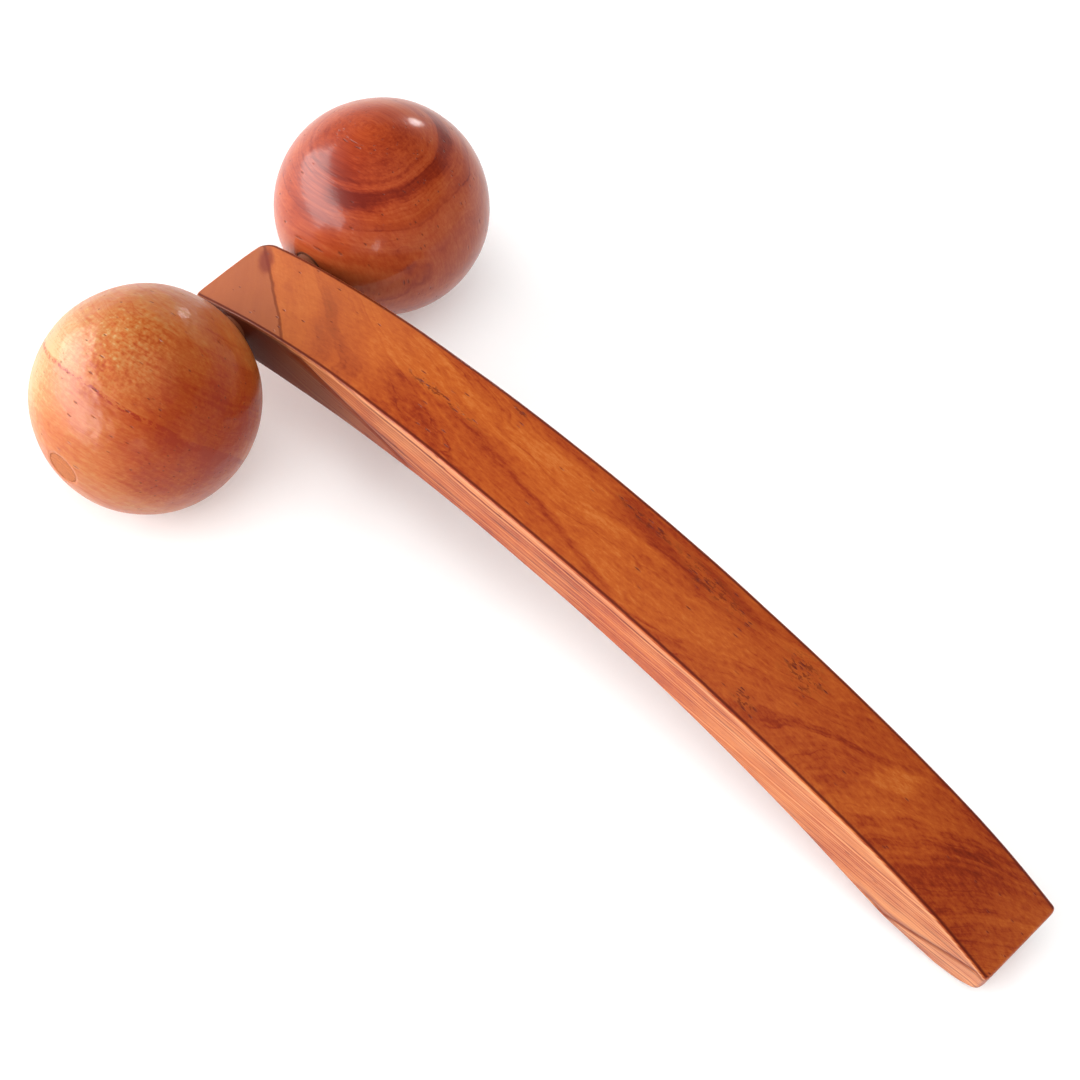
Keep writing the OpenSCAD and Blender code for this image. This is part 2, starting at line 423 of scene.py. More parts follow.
def rounded(points, radius, count=4):
    """A closed outline of (r, y, keep) corners with the corners that aren't kept rounded off."""
    out = []
    for i, (r, y, keep) in enumerate(points):
        here = Vector((r, y))
        if keep:
            out.append(here)
            continue
        before = Vector(points[i - 1][:2]) - here
        after = Vector(points[(i + 1) % len(points)][:2]) - here
        reach = min(radius, before.length / 2, after.length / 2)
        start = here + before.normalized() * reach
        end = here + after.normalized() * reach
        for t in steps(0, 1, count):
            out.append((1 - t) ** 2 * start + 2 * t * (1 - t) * here + t ** 2 * end)
    return out


def ball_outline():
    """Half section of a ball about the axle, as (radius, distance along the axle from its middle)."""
    rim = -math.sqrt(BALL_R ** 2 - BORE_R ** 2)
    flat = math.sqrt(BALL_R ** 2 - END_FLAT_R ** 2)
    outline = [(BORE_R, rim, False)]
    first = math.degrees(math.asin(BORE_R / BALL_R)) + RIM_TURN
    last = 180 - math.degrees(math.asin(END_FLAT_R / BALL_R)) - RIM_TURN
    for a in steps(first, last, 84):
        turn = math.radians(a)
        outline.append((BALL_R * math.sin(turn), -BALL_R * math.cos(turn), True))
    outline += [(END_FLAT_R, flat, False), (BORE_R, flat, False)]
    outline += [(BORE_R, y, True) for y in steps(flat - 1, rim + 1, 8)]
    return rounded(outline, RIM_R)


def lathe(name, outline, side, wobble=0.0, turns=160, closed_loop=True):
    """Turns an outline about the axle. The wobble is what a hand-held chisel leaves."""
    rings = []
    for r, y in outline:
        ring = []
        for i in range(turns):
            turn = 2 * math.pi * i / turns
            way = Vector((math.cos(turn) * r, y, math.sin(turn) * r))
            swell = wobble * noise.noise(way / WOBBLE_SIZE + Vector((side * 5.0, 0, 2.3)))
            swell *= ease(r, BORE_R + 1, BORE_R + 7)
            x, y_out, z = way * (1 + swell / BALL_R)
            ring.append(((AXLE_X + x) * MM, side * (BALL_Y + y_out) * MM, (AXLE_Z + z) * MM))
        rings.append(ring)
    obj = new_object(name, [p for ring in rings for p in ring], bridge(rings, closed_loop))
    outward_faces(obj)
    smooth_shading(obj)
    return obj


def build_ball(side, word):
    """The left or right ball, turned with its bore."""
    obj = lathe(word + "_turned_ball", ball_outline(), side, wobble=BALL_WOBBLE)
    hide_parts(word + "_ball")
    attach(obj, word + "_ball_body")
    return obj


def plug_outline():
    """Half section of a plug: slightly domed, with a softened edge and a hair gap round it."""
    flat = math.sqrt(BALL_R ** 2 - END_FLAT_R ** 2)
    wide = BORE_R - PLUG_GAP
    edge = flat - PLUG_SINK - PLUG_EDGE_R
    corner = Vector((wide - PLUG_EDGE_R, edge))
    points = [Vector((AXIS_GAP, flat - PLUG_T)), Vector((wide, flat - PLUG_T))]
    points.append(Vector((wide, edge - 0.05)))
    for a in steps(10, 90, 5):
        turn = math.radians(a)
        points.append(corner + PLUG_EDGE_R * Vector((math.cos(turn), math.sin(turn))))
    for r in steps(wide - 0.4, AXIS_GAP, 9):
        points.append(Vector((r, flat - PLUG_SINK + PLUG_DOME * (1 - (r / wide) ** 2))))
    return points


def build_plug(side, word):
    """The plug that closes the outer end of a ball's bore."""
    obj = lathe(word + "_plug_disc", plug_outline(), side, turns=96, closed_loop=False)
    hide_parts(word + "_end_plug")
    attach(obj, word + "_ball_body")
    return obj


# ---------------------------------------------------------------- materials: building nodes

class Signal:
    """A number inside a material. Arithmetic on it adds Math nodes."""

    def __init__(self, graph, socket):
        self.graph = graph
        self.socket = socket

    def __add__(self, other):
        return self.graph.math("ADD", self, other)

    def __sub__(self, other):
        return self.graph.math("SUBTRACT", self, other)

    def __mul__(self, other):
        return self.graph.math("MULTIPLY", self, other)

    def __truediv__(self, other):
        return self.graph.math("DIVIDE", self, other)

    __radd__ = __add__

    def size(self):
        return self.graph.math("ABSOLUTE", self, 0)

    def squared(self):
        return self.graph.math("MULTIPLY", self, self)

    def root(self):
        return self.graph.math("SQRT", self, 0)

    def step(self, low, high):
        """0 below low, 1 above high and smooth between; low may be the larger of the two."""
        node = self.graph.node("ShaderNodeMapRange", interpolation_type="SMOOTHSTEP")
        self.graph.feed(node.inputs["Value"], self)
        node.inputs["From Min"].default_value = min(low, high)
        node.inputs["From Max"].default_value = max(low, high)
        node.inputs["To Min"].default_value = 0 if low < high else 1
        node.inputs["To Max"].default_value = 1 if low < high else 0
        return Signal(self.graph, node.outputs["Result"])


class Graph:
    """A material with short calls for the nodes that this scene uses."""

    def __init__(self, name):
        self.material = bpy.data.materials.new(name)
        self.material.use_nodes = True
        self.tree = self.material.node_tree
        self.shader = self.tree.nodes["Principled BSDF"]

    def node(self, kind, **settings):
        """A new node with its settings made."""
        node = self.tree.nodes.new(kind)
        for key, value in settings.items():
            setattr(node, key, value)
        return node

    def feed(self, socket, value):
        """Links a signal to an input, or sets the input to a fixed value."""
        if isinstance(value, Signal):
            self.tree.links.new(value.socket, socket)
        else:
            socket.default_value = value

    def math(self, operation, a, b):
        node = self.node("ShaderNodeMath", operation=operation)
        self.feed(node.inputs[0], a)
        self.feed(node.inputs[1], b)
        return Signal(self, node.outputs[0])

    def place(self):
        """The point's x from the axle, y and height, in millimetres at rest."""
        coordinates = self.node("ShaderNodeTexCoord")
        split = self.node("ShaderNodeSeparateXYZ")
        self.tree.links.new(coordinates.outputs["Object"], split.inputs[0])
        x, y, z = (Signal(self, split.outputs[i]) for i in range(3))
        return x / MM - AXLE_X, y / MM, z / MM

    def vector(self, x, y, z):
        node = self.node("ShaderNodeCombineXYZ")
        for socket, value in zip(node.inputs, (x, y, z)):
            self.feed(socket, value)
        return Signal(self, node.outputs[0])

    def noise(self, vector, detail=2.0, roughness=0.5):
        """Noise that changes with a place; its grains are about as large as one unit of it."""
        node = self.node("ShaderNodeTexNoise")
        self.feed(node.inputs["Vector"], vector)
        node.inputs["Scale"].default_value = 1.0
        node.inputs["Detail"].default_value = detail
        node.inputs["Roughness"].default_value = roughness
        return Signal(self, node.outputs[0])

    def noise_along(self, value, detail=2.0, roughness=0.5):
        """Noise that changes with one number only."""
        node = self.node("ShaderNodeTexNoise", noise_dimensions="1D")
        self.feed(node.inputs["W"], value)
        node.inputs["Scale"].default_value = 1.0
        node.inputs["Detail"].default_value = detail
        node.inputs["Roughness"].default_value = roughness
        return Signal(self, node.outputs[0])

    def cells(self, vector):
        """The distance to the nearest of many scattered points, and a random number for that point."""
        node = self.node("ShaderNodeTexVoronoi")
        self.feed(node.inputs["Vector"], vector)
        node.inputs["Scale"].default_value = 1.0
        split = self.node("ShaderNodeSeparateColor")
        self.tree.links.new(node.outputs["Color"], split.inputs[0])
        return Signal(self, node.outputs["Distance"]), Signal(self, split.outputs[0])

    def attribute(self, name):
        """A number stored for each vertex of the mesh."""
        node = self.node("ShaderNodeAttribute", attribute_name=name)
        return Signal(self, node.outputs["Fac"])

    def ramp(self, value, stops):
        """Colours or greys by a number from 0 to 1; stops are (position, colour) pairs."""
        node = self.node("ShaderNodeValToRGB")
        self.feed(node.inputs[0], value)
        elements = node.color_ramp.elements
        while len(elements) < len(stops):
            elements.new(0.5)
        for element, (position, colour) in zip(elements, stops):
            element.position = position
            element.color = (*colour, 1) if isinstance(colour, tuple) else (colour, colour, colour, 1)
        return Signal(self, node.outputs[0])

    def mix(self, share, signal, colour):
        """A colour signal turned into a fixed colour by share."""
        node = self.node("ShaderNodeMix", data_type="RGBA")
        self.feed(node.inputs[0], share)
        self.feed(node.inputs[6], signal)
        self.feed(node.inputs[7], (*colour, 1))
        return Signal(self, node.outputs[2])

    def bump(self, height, depth_mm):
        """Relief of the wood and of the lacquer over it."""
        node = self.node("ShaderNodeBump")
        node.inputs["Strength"].default_value = 1.0
        node.inputs["Distance"].default_value = depth_mm * MM
        self.feed(node.inputs["Height"], height)
        self.tree.links.new(node.outputs["Normal"], self.shader.inputs["Normal"])
        self.tree.links.new(node.outputs["Normal"], self.shader.inputs["Coat Normal"])

    def finish(self, colour, roughness, **uniform):
        """Joins the colour and roughness to the shader and sets what is the same all over."""
        self.feed(self.shader.inputs["Base Color"], colour)
        self.feed(self.shader.inputs["Roughness"], roughness)
        for name, value in uniform.items():
            self.shader.inputs[name.replace("_", " ")].default_value = value
        return self.material


# ---------------------------------------------------------------- materials: wood

def grain(graph, along, across, layer, pore_share, layer_t=1.5):
    """What every piece of wood shows, from a point's place in the tree: along the fibres, across
    them inside a growth layer, and through the layers."""
    sway = graph.noise(graph.vector(along / 55, across / 14, layer / 16), detail=2) - 0.5
    layer = layer + sway * 4.0
    tremble = graph.noise(graph.vector(along / 7, across / 3, layer / 3), detail=2) - 0.5
    lines = graph.noise_along((layer + tremble * 0.8) / layer_t + 40, detail=1)
    lines = (lines - 0.5).size().step(0.035, 0.0)
    fade = graph.noise(graph.vector(along / 22, across / 5, layer / 5)).step(0.45, 0.62)
    distance, chance = graph.cells(graph.vector(along / 2.4, across / 0.5, layer / 0.5))
    return {
        "bands": graph.noise_along(layer / (2.6 * layer_t), detail=4, roughness=0.6),
        "threads": graph.noise_along((layer + tremble * 0.5) / (0.42 * layer_t), detail=3, roughness=0.7),
        "lines": lines * fade,
        "fibres": graph.noise(graph.vector(along / 9, across * 2.2, layer * 2.2), 3, roughness=0.65),
        "strokes": graph.noise(graph.vector(along / 1.8, across * 1.3, layer * 1.3), 3, roughness=0.7),
        "clouds": graph.noise(graph.vector(along / 16, across / 7, layer / 7), detail=3),
        "pores": distance.step(0.42, 0.14) * (chance - pore_share).step(0.02, 0.0),
    }


def figure(marks, tone, bands, threads, strokes, clouds):
    """The tone of the wood with each of its marks added by a share."""
    tone = tone + (marks["bands"] - 0.5) * bands
    tone = tone + (marks["threads"] - 0.5) * threads
    tone = tone + (marks["fibres"] - 0.5) * 0.35
    tone = tone + (marks["strokes"] - 0.5) * strokes
    tone = tone + (marks["clouds"] - 0.5) * clouds
    return tone - marks["lines"] * 0.16


def lacquered(graph, marks, colour, roughness, coat, coat_roughness, ripple_size, ripple_depth):
    """The lacquer over the wood: gloss, slow ripples, and the relief of pores and fibres under it."""
    waves = graph.noise(graph.vector(*(v / ripple_size for v in graph.place())), detail=2)
    relief = marks["fibres"] * 0.02 + marks["strokes"] * 0.03 - marks["pores"] * 0.08
    graph.bump(relief + waves * ripple_depth, 1)
    rough = marks["strokes"] * 0.14 + marks["pores"] * 0.2 + (roughness - 0.07)
    return graph.finish(
        colour, rough,
        IOR=1.45,
        Specular_IOR_Level=0.12,
        Coat_Weight=coat,
        Coat_Roughness=coat_roughness,
        Coat_IOR=1.45,
    )


WOOD_TONES = [
    (0.0, (0.135, 0.012, 0.0030)),
    (0.25, (0.235, 0.026, 0.0050)),
    (0.5, (0.340, 0.056, 0.0085)),
    (0.75, (0.430, 0.092, 0.0130)),
    (1.0, (0.520, 0.150, 0.0300)),
]

# Tone of the handle along its length: (x, lightness)
HANDLE_TONE = [
    (-10, 0.62),
    (18, 0.60),
    (45, 0.58),
    (75, 0.62),
    (110, 0.55),
    (140, 0.57),
    (160, 0.51),
    (174, 0.38),
    (184, 0.40),
    (195, 0.64),
]

# Lighter and darker places in the handle: (x, y, length, width, turn in degrees, change)
HANDLE_PATCHES = [
    (8, 3, 13, 3.4, -55, 0.22),
    (17, -2, 15, 3.2, -55, -0.20),
    (27, 1, 13, 2.0, -50, 0.10),
    (38, 7, 8, 2.6, -10, 0.12),
    (70, 4, 24, 4.4, -4, 0.20),
    (88, 7, 6, 3.2, -20, -0.12),
    (99, 5, 11, 2.2, -8, -0.22),
    (110, 8, 12, 1.6, -4, -0.22),
    (141, 7, 9, 3.4, 20, -0.12),
    (157, 3, 9, 3.2, 48, 0.30),
    (178, 1, 14, 6.5, 48, -0.10),
]

# The long dark streak in the middle of the grip: it runs level and then slants to the near edge
STREAK_X = [33, 100]
STREAK_Y = -0.8
STREAK_BEND_X = 55
STREAK_SLOPE = 0.2

# Places where the pores lie close together: (x, y, length, width)
PORE_CLUSTERS = [
    (108, 6.5, 12, 3.2),
    (132, 6, 7, 4.2),
    (127, -7, 4, 2.2),
    (90, 7.5, 8, 1.5),
    (45, 0.5, 13, 1.2),
    (58, 8.5, 3, 1.2),
]

# Colours on the handle besides the tones of its wood; several are painted light and shade
HEAD_ROSE = (0.47, 0.140, 0.050)
# painted light of the sides
SIDE_PAINTED_LIGHT = (0.56, 0.225, 0.085)
# painted shadow of the balls on the head's cheeks
CHEEK_PAINTED_SHADOW = (0.110, 0.022, 0.010)
# painted reflection on the head's facet
FACET_PAINTED_REFLECTION = (0.31, 0.093, 0.043)
FACET_LINE = (0.10, 0.012, 0.005)
PLUM = (0.17, 0.026, 0.018)
PORE_BROWN = (0.130, 0.014, 0.004)
# darkening in the creases, and painted shade along the lowest edges
CREASE_DARK_AND_LOW_SHADE = (0.150, 0.018, 0.005)
# painted shade along the rounded edges
EDGE_PAINTED_SHADE = (0.09, 0.008, 0.003)
# painted highlight below the top's edge
EDGE_PAINTED_HIGHLIGHT = (0.74, 0.34, 0.16)
# painted shade round the axle, between the head and the balls
AXLE_PAINTED_SHADE = (0.095, 0.011, 0.004)

HANDLE_GLOSS = {"roughness": 0.45, "coat": 0.28, "coat_roughness": 0.2,
                "ripple_size": 3, "ripple_depth": 0.02}


def patch(x, y, centre_x, centre_y, length, width, turn, wander):
    """1 in the middle of an oval place and 0 outside it, with a wandering edge."""
    cos, sin = math.cos(math.radians(turn)), math.sin(math.radians(turn))
    dx, dy = x - centre_x, y - centre_y
    along = (dx * cos + dy * sin) / length
    across = (dy * cos - dx * sin) / width
    return ((along.squared() + across.squared()).root() + wander).step(1.1, 0.35)


def handle_tone(graph, x, y, marks, flank, wander):
    """Lightness of the handle's wood: along its length, in patches, by its grain and its streak."""
    first, last = HANDLE_TONE[0][0], HANDLE_TONE[-1][0]
    tone = graph.ramp((x - first) / (last - first),
                      [((place - first) / (last - first), light) for place, light in HANDLE_TONE])
    for *place, change in HANDLE_PATCHES:
        tone = tone + patch(x, y, *place, wander) * change
    bands = x.step(170, 140) * 0.25 + 0.3
    tone = figure(marks, tone, bands=bands, threads=flank * 0.7 + 0.45, strokes=0.8, clouds=0.45)
    tone = tone - flank * marks["lines"] * 0.3
    bend = graph.math("MAXIMUM", x - STREAK_BEND_X, 0)
    streak = y + bend * STREAK_SLOPE - STREAK_Y + wander
    reach = x.step(STREAK_X[0] - 3, STREAK_X[0] + 5) * x.step(STREAK_X[1], STREAK_X[1] - 12)
    tone = tone - streak.size().step(1.1, 0.1) * reach * 0.26
    return tone - streak.step(0.2, -0.8) * reach * 0.18


def side_light_and_shadow(graph, colour, x, z, marks, flank):
    """Painted light that makes the sides paler than the top, and the painted shadow of the balls on the
    cheeks under the head's crease.
    """
    # Painted light: the sides paler than the top, more so towards the tail
    pale = (marks["threads"] - 0.5) * 2.6 + (marks["clouds"] - 0.5) * 1.4 + x.step(90, 160) * 0.25
    colour = graph.mix(flank * (pale + 0.22), colour, SIDE_PAINTED_LIGHT)
    # Painted shadow of the balls on the cheeks under the head's crease
    under_crease = (x - HEAD_CREASE[0]) * HEAD_CREASE[2] + HEAD_CREASE[1] - z
    shade = under_crease.step(0, 0.6) * x.step(56, 24) * flank
    return graph.mix(shade * 0.75, colour, CHEEK_PAINTED_SHADOW)


def facet_colours(graph, colour, x, y, on_top, wander):
    """Painted reflection that greys the head's facet, the dark line that ends it, and the plum-coloured
    patch on that line.
    """
    facet_x, facet_y = FACET_SIDE - FACET_FRONT
    inside = (x - FACET_FRONT.x) * facet_y - (y - FACET_FRONT.y) * facet_x
    inside = inside / math.hypot(facet_x, facet_y) + wander * 0.8
    # Painted reflection that greys the facet
    colour = graph.mix(inside.step(-0.2, 0.5) * on_top * 0.7, colour, FACET_PAINTED_REFLECTION)
    line = (inside - 0.1).size().step(0.5, 0.1) * on_top
    colour = graph.mix(line * 0.6, colour, FACET_LINE)
    plum = patch(x, y, -5.6, 5.2, 5.4, 1.7, -50, wander) * on_top
    return graph.mix(plum * 0.75, colour, PLUM)


def handle_wood():
    """Red-brown wood with painted light on its sides, dark creases, painted shade and a painted highlight
    on its edges, and painted shade round the axle.
    """
    graph = Graph("handle_wood")
    x, y, z = graph.place()
    pith_y, pith_z, dip = -16.0, -22.0, 0.03
    layer = ((y - pith_y).squared() + (z - pith_z).squared()).root() + x * dip
    wander = (graph.noise(graph.vector(x / 9, y / 4, z / 4), detail=3) - 0.5) * 1.1
    crowd = 0.015
    for place in PORE_CLUSTERS:
        crowd = patch(x, y, *place, -4, wander) * 0.5 + crowd
    marks = grain(graph, x, y, layer, crowd)
    flank = graph.attribute("flank")
    on_top = y.size().step(HEAD_W / 2 - 0.1, HEAD_W / 2 - 0.5)
    colour = graph.ramp(handle_tone(graph, x, y, marks, flank, wander), WOOD_TONES)
    colour = graph.mix((x + wander * 6).step(44, 6) * 0.5, colour, HEAD_ROSE)
    # Painted light on the sides and painted shadow on the head's cheeks
    colour = side_light_and_shadow(graph, colour, x, z, marks, flank)
    # Painted reflection on the head's facet
    colour = facet_colours(graph, colour, x, y, on_top, wander)
    dashes = marks["strokes"].step(0.49, 0.60) * crowd * 1.5
    colour = graph.mix(marks["pores"] * 0.8 + dashes, colour, PORE_BROWN)
    # Darker in and beside the creases, and painted shade along the lowest edge of each side
    colour = graph.mix(graph.attribute("crease"), colour, CREASE_DARK_AND_LOW_SHADE)
    arris = graph.attribute("arris")
    # Painted shade along the rounded edges, and a painted highlight just below the top's edge
    colour = graph.mix(arris.step(0.1, 0.9) * 0.9, colour, EDGE_PAINTED_SHADE)
    colour = graph.mix(arris.step(-0.1, -0.9) * 0.4, colour, EDGE_PAINTED_HIGHLIGHT)
    # Painted shade on the head's sides round the axle, between the head and the balls
    from_axle = (x.squared() + (z - AXLE_Z).squared()).root() + wander * 3
    axle_shade = from_axle.step(24, 6) * on_top.step(0.5, 0) * x.step(-HEAD_FRONT, 1.5 - HEAD_FRONT)
    colour = graph.mix(axle_shade * 0.8, colour, AXLE_PAINTED_SHADE)
    return lacquered(graph, marks, colour, **HANDLE_GLOSS)


BALL_PORE_BROWN = (0.060, 0.008, 0.003)


def near_place(offset, way, size, wander):
    """1 at the point of a ball's surface in a direction, falling to 0 at size from it."""
    dx, dy, dz = (place - far for place, far in zip(offset, Vector(way).normalized() * BALL_R))
    gap = (dx.squared() + dy.squared() + dz.squared()).root()
    return (gap + wander).step(size, size * 0.2)


def ball_wood(name, side, fibre, through, tones, layer_t, pore_share, tone, shares, places, gloss,
              ring=None, seam=None, speckle=None):
    """Wood of a ball. fibre is the way its fibres run and through the way across its growth
    layers; with ring, the layers are rings about the fibre direction instead of planes. A ring is
    (inner radius, outer radius, depth), a seam is (middle, half width, depth) and a speckle is
    (way from the ball's middle, reach, depth)."""
    graph = Graph(name)
    x, y, z = graph.place()
    offset = (x, y - side * BALL_Y, z - AXLE_Z)
    fibre = Vector(fibre).normalized()
    through = (Vector(through) - fibre * Vector(through).dot(fibre)).normalized()
    third = fibre.cross(through)

    def reach(way):
        return offset[0] * way.x + offset[1] * way.y + offset[2] * way.z

    along, layer, across = reach(fibre), reach(through), reach(third)
    if ring:
        layer = (layer.squared() + across.squared()).root()
    marks = grain(graph, along, across, layer, pore_share, layer_t=layer_t)
    wander = marks["clouds"] - 0.5
    if ring:
        calm = layer.step(8, 15)
        for mark_name in ("bands", "threads"):
            marks[mark_name] = (marks[mark_name] - 0.5) * calm + 0.5
        marks["lines"] = marks["lines"] * calm
    tone = figure(marks, tone, **shares)
    # Some of the places are painted light and shade, set by where the window lies
    for way, size, change in places:
        tone = tone + near_place(offset, way, size, wander * 8) * change
    if ring:
        inner, outer, depth = ring
        edge = layer + wander * 2
        dark_ring = edge.step(inner, inner + 0.9) * edge.step(outer + 1.2, outer - 0.6)
        dark_ring = dark_ring * reach(through).step(-1, 4)
        tone = tone - dark_ring * (marks["threads"] * 0.5 + 0.75) * depth
    if seam:
        middle, half, depth = seam
        dashes = marks["strokes"].step(0.42, 0.58)
        tone = tone - (layer + wander * 3 - middle).size().step(half, half * 0.2) * dashes * depth
    if speckle:
        way, size, depth = speckle
        dots = graph.noise(graph.vector(*(v / 0.85 for v in offset)), detail=1) - 0.5
        tone = tone + near_place(offset, way, size, wander * 8) * dots * depth
    colour = graph.ramp(tone, tones)
    colour = graph.mix(marks["pores"] * 0.6, colour, BALL_PORE_BROWN)
    return lacquered(graph, marks, colour, **gloss)


LEFT_BALL_TONES = [
    (0.0, (0.250, 0.022, 0.0030)),
    (0.25, (0.320, 0.050, 0.0065)),
    (0.5, (0.385, 0.094, 0.0170)),
    (0.75, (0.410, 0.155, 0.0410)),
    (1.0, (0.440, 0.265, 0.1050)),
]
RIGHT_BALL_TONES = [
    (0.0, (0.130, 0.009, 0.0025)),
    (0.25, (0.220, 0.022, 0.0050)),
    (0.5, (0.325, 0.048, 0.0110)),
    (0.75, (0.400, 0.085, 0.0230)),
    (1.0, (0.480, 0.140, 0.0480)),
]

# Lighter and darker places of each ball: (way from its middle, reach, change). Some of them are painted
# light and shade.
LEFT_BALL_PLACES_AND_PAINTED_LIGHT = [
    # painted shade on the side away from the window
    ((0.9, -0.1, 0.45), 25, -0.40),
    # painted light on the side towards the window
    ((-0.6, -0.3, 0.75), 24, 0.20),
    # painted light where the ball faces the window
    ((-0.75, -0.55, 0.3), 19, 0.34),
    # painted darker where the window's reflection lies
    ((-0.2, -0.66, 0.72), 15, -0.12),
]
RIGHT_BALL_PLACES_AND_PAINTED_LIGHT = [
    ((-0.5, 0.5, 0.7), 18, 0.14),
    ((-0.2, -0.1, 0.97), 14, -0.18),
    # painted darker where the window's reflection lies
    ((-0.2, -0.7, 0.67), 16, -0.26),
]


def left_ball_wood():
    """Golden wood with a darker seam and a speckled crown, painted lighter towards the window and darker
    away from it.
    """
    return ball_wood(
        "left_ball_wood", LEFT, fibre=(1, 0.15, -0.04), through=(-0.095, 0.795, 0.6),
        tones=LEFT_BALL_TONES, layer_t=1.7, pore_share=0.05, tone=0.50,
        shares={"bands": 0.5, "threads": 0.3, "strokes": 0.6, "clouds": 0.5},
        places=LEFT_BALL_PLACES_AND_PAINTED_LIGHT,
        gloss={"roughness": 0.45, "coat": 0.45, "coat_roughness": 0.24,
               "ripple_size": 5, "ripple_depth": 0.4},
        seam=(0.0, 0.7, 0.6), speckle=((-0.05, -0.2, 0.95), 15, 1.05))


def right_ball_wood():
    """Red-brown wood, cut so that one dark growth ring shows, and painted darker where the window's
    reflection lies.
    """
    return ball_wood(
        "right_ball_wood", RIGHT, fibre=(-0.23, -0.04, 0.97), through=(1, 0, 0.2),
        tones=RIGHT_BALL_TONES, layer_t=2.0, pore_share=0.04, tone=0.54,
        shares={"bands": 0.75, "threads": 0.45, "strokes": 0.5, "clouds": 0.45},
        places=RIGHT_BALL_PLACES_AND_PAINTED_LIGHT,
        gloss={"roughness": 0.38, "coat": 0.45, "coat_roughness": 0.08,
               "ripple_size": 3, "ripple_depth": 0.012},
        ring=(13.2, 15.8, 0.35))


def plug_wood():
    """End grain: rings and open pores seen from their ends, darkened by glue and lacquer."""
    graph = Graph("plug_wood")
    x, y, z = graph.place()
    across, layer = x, z - AXLE_Z
    rings = graph.noise_along((across.squared() + (layer + 6).squared()).root() / 0.5, detail=2)
    mottle = graph.noise(graph.vector(across / 1.1, layer / 1.1, y / 4), detail=4, roughness=0.6)
    distance, chance = graph.cells(graph.vector(across / 0.34, layer / 0.34, y / 8))
    pores = distance.step(0.36, 0.2) * (chance - 0.6).step(0.02, 0.0)
    rim = (across.squared() + layer.squared()).root().step(BORE_R - 0.55, BORE_R - 0.1)
    tone = rings * 0.45 + mottle * 0.55
    colour = graph.ramp(tone, [(0.25, (0.300, 0.070, 0.014)), (0.75, (0.420, 0.130, 0.034))])
    colour = graph.mix(pores * 0.5, colour, (0.090, 0.025, 0.008))
    colour = graph.mix(rim * 0.25, colour, (0.150, 0.040, 0.012))
    graph.bump(tone * 0.4 - pores * 0.6, 0.05)
    return graph.finish(colour, mottle * 0.2 + 0.5, IOR=1.45, Specular_IOR_Level=0.2)


# ---------------------------------------------------------------- materials: hardware

def steel(name, tint, along_axle):
    """Drawn rod or plated washer: fine lines from the die or the lathe, and faint tarnish."""
    graph = Graph(name)
    x, y, z = graph.place()
    around = (x.squared() + (z - AXLE_Z).squared()).root()
    if along_axle:
        lines = graph.noise(graph.vector(x * 5, y / 6, z * 5), detail=3)
    else:
        lines = graph.noise_along(around * 9, detail=3)
    tarnish = graph.noise(graph.vector(x / 4, y / 4, z / 4), detail=4)
    dark = tuple(channel * 0.72 for channel in tint)
    colour = graph.ramp(tarnish, [(0.3, dark), (0.6, tint)])
    graph.bump(lines, 0.02)
    return graph.finish(colour, lines * 0.2 + tarnish * 0.12 + 0.16, Metallic=1.0)


def brown_nylon():
    """Moulded nylon: fine spark-eroded grain with handling marks rubbed smoother."""
    graph = Graph("brown_nylon")
    x, y, z = graph.place()
    grit = graph.noise(graph.vector(x * 6, y * 6, z * 6), detail=2)
    rubs = graph.noise(graph.vector(x / 3, y / 3, z / 3), detail=3)
    colour = graph.ramp(rubs, [(0.3, (0.120, 0.030, 0.012)), (0.7, (0.180, 0.050, 0.020))])
    graph.bump(grit, 0.02)
    return graph.finish(colour, rubs * 0.25 + 0.45, IOR=1.53, Specular_IOR_Level=0.2)


def dress(obj, material):
    """Gives an object one material."""
    obj.data.materials.clear()
    obj.data.materials.append(material)


def dress_hardware():
    """Materials for the pieces that keep their CAD meshes."""
    rod = steel("drawn_steel", (0.60, 0.61, 0.62), True)
    plated = steel("plated_steel", (0.55, 0.56, 0.58), False)
    nylon = brown_nylon()
    for name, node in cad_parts.items():
        if "bush" in name or "spacer" in name:
            dress(node, nylon)
        elif "washer" in name or "screw" in name:
            dress(node, plated)
        elif name == "axle":
            dress(node, rod)


# ---------------------------------------------------------------- stage

OBJECT_MIDDLE = Vector((0, 0, 0.018))


def pale_paint(name, mottle_size, glow=0.0):
    """Matt white paint with a faint mottle, which can glow a little."""
    graph = Graph(name)
    mottle = graph.noise(graph.vector(*(v / mottle_size for v in graph.place())), detail=3)
    colour = graph.ramp(mottle, [(0.3, (0.86, 0.86, 0.86)), (0.7, (0.89, 0.89, 0.885))])
    return graph.finish(colour, mottle * 0.1 + 0.8, Specular_IOR_Level=0.1,
                        Emission_Color=(1, 1, 1, 1), Emission_Strength=glow)


def round_stage(name, outline, material, spare_caps):
    """A part of the set, turned about the upright through the object's middle. Of the caps over
    its first and last ring, the last spare_caps are left out."""
    turns = 72
    rings = [[(r * math.cos(2 * math.pi * i / turns), r * math.sin(2 * math.pi * i / turns), z)
              for i in range(turns)] for r, z in outline]
    obj = new_object(name, [p for ring in rings for p in ring], bridge(rings)[:-spare_caps])
    smooth_shading(obj)
    dress(obj, material)


def stage():
    """A pale floor that glows a little, and a backdrop that curves up far behind it."""
    floor_r, wall_r, wall_h = 1.6, 2.6, 1.6  # metres
    floor_z = -0.2 * MM  # just clear of the balls, which aren't perfectly round
    disc = [(r, floor_z) for r in steps(0.02, floor_r, 5)]
    # The floor's glow is painted light: it lifts the shadows on the floor and lights the object from
    # below
    round_stage("floor", disc, pale_paint("floor_paint", 60, 0.15), 1)
    sweep = [(floor_r + (wall_r - floor_r) * math.sin(turn), floor_z + wall_h * (1 - math.cos(turn)))
             for turn in steps(0, math.pi / 2, 10)]
    round_stage("backdrop", sweep, pale_paint("backdrop_paint", 60), 2)


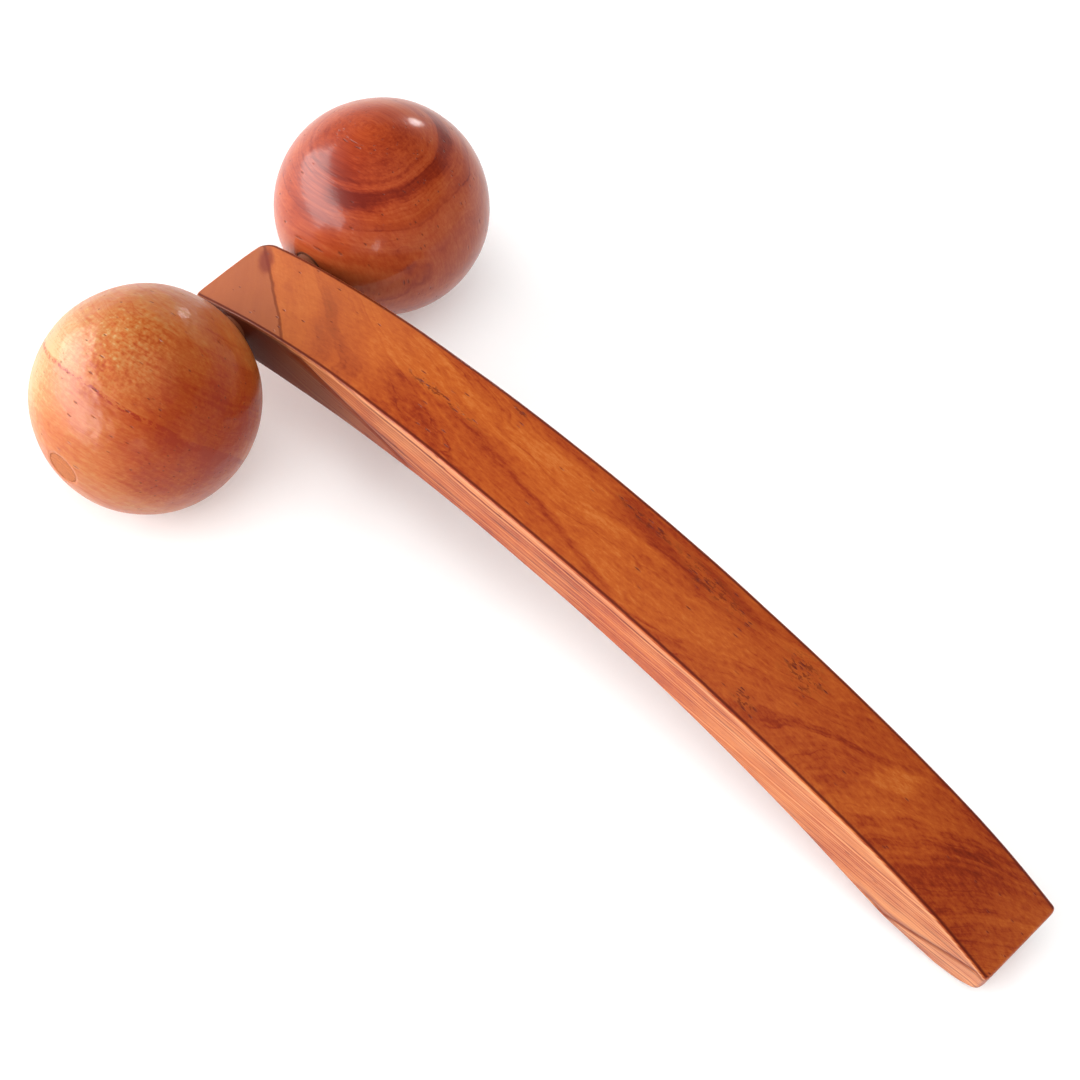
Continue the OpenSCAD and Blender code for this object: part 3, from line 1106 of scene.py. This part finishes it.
def soft_light(name, way, distance, wide, tall, power, diffuse=True, glossy=True, upright=False):
    """A softbox that faces the object from a direction, or stands upright there. It can be left out
    of what the surfaces scatter or out of what they mirror."""
    data = bpy.data.lights.new(name, "AREA")
    data.shape = "RECTANGLE"
    data.size = wide
    data.size_y = tall
    data.energy = power
    obj = bpy.data.objects.new(name, data)
    bpy.context.scene.collection.objects.link(obj)
    way = Vector(way).normalized()
    obj.location = OBJECT_MIDDLE + way * distance
    facing = Vector((way.x, way.y, 0)) if upright else way
    obj.rotation_euler = facing.to_track_quat("Z", "Y").to_euler()
    obj.visible_camera = False
    obj.visible_diffuse = diffuse
    obj.visible_glossy = glossy


def lights():
    """A tall window to the near left, small lamps that leave bright spots, and a soft light above.
    The window is in two parts, so that its reflection can be brighter than its light."""
    tall_window = {"way": (-0.72, -0.66, 0.30), "distance": 1.25, "wide": 2.2, "tall": 0.84}
    soft_light("window", **tall_window, power=37, upright=True)
    soft_light("window_gloss", **tall_window, power=74, diffuse=False, upright=True)
    soft_light("far_lamp", (-0.40, 0.87, 0.28), distance=1.2, wide=0.14, tall=0.10, power=1.8)
    soft_light("low_lamp", (0.51, -0.83, 0.21), distance=1.2, wide=0.10, tall=0.24, power=0.5,
               diffuse=False)
    soft_light("overhead", (0.1, -0.15, 1), distance=1.5, wide=1.8, tall=1.8, power=26, glossy=False)
    world = bpy.data.worlds.new("room")
    world.use_nodes = True
    world.node_tree.nodes["Background"].inputs["Color"].default_value = (0.07, 0.069, 0.068, 1)
    bpy.context.scene.world = world


CAMERA_FROM_AXLE = Vector((175.7, -203.0, 374.0))
CAMERA_TURN = (29.87, -8.0, 40.27)  # degrees about x, y and z


def camera():
    """Looks down on the roller from beside its tail, as the photo does."""
    data = bpy.data.cameras.new("camera")
    data.sensor_width = 36
    data.lens = 75
    data.clip_start = 0.01
    obj = bpy.data.objects.new("camera", data)
    bpy.context.scene.collection.objects.link(obj)
    obj.location = (Vector((AXLE_X, 0, AXLE_Z)) + CAMERA_FROM_AXLE) * MM
    obj.rotation_euler = Euler([math.radians(a) for a in CAMERA_TURN])
    bpy.context.scene.camera = obj


# ---------------------------------------------------------------- build

dress(build_handle(), handle_wood())
dress(build_ball(LEFT, "left"), left_ball_wood())
dress(build_ball(RIGHT, "right"), right_ball_wood())
plug_material = plug_wood()
dress(build_plug(LEFT, "left"), plug_material)
dress(build_plug(RIGHT, "right"), plug_material)
dress_hardware()
stage()
lights()
camera()
bpy.context.scene.view_settings.view_transform = "Standard"
